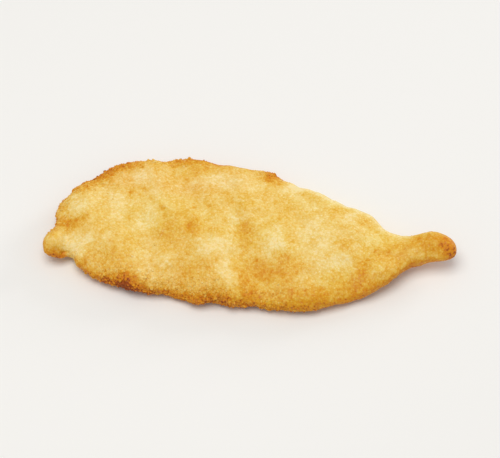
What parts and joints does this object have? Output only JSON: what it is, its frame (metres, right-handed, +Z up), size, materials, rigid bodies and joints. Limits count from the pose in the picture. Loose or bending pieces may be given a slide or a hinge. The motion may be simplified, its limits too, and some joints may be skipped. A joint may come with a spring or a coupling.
{
  "type": "breaded fish fillet",
  "caption": "Leaf-shaped flatfish fillet in a thin golden fried crust, with a narrow tail end and a short stub, lying flat.",
  "frame": {"origin": "middle of the fillet's length and width, at the level of the surface it lies on", "axes": "+X along the fillet from the stub towards the tail, +Y across it towards its fuller edge, +Z up out of the shown side"},
  "size_m": [0.1686, 0.075, 0.0143],
  "materials": {
    "fried_crust": "thin floured and egged fried crust, pale gold with amber patches, fine crumb, faint oily sheen"
  },
  "bodies": {
    "root": {"fillet": "fried_crust"}
  },
  "joints": []
}
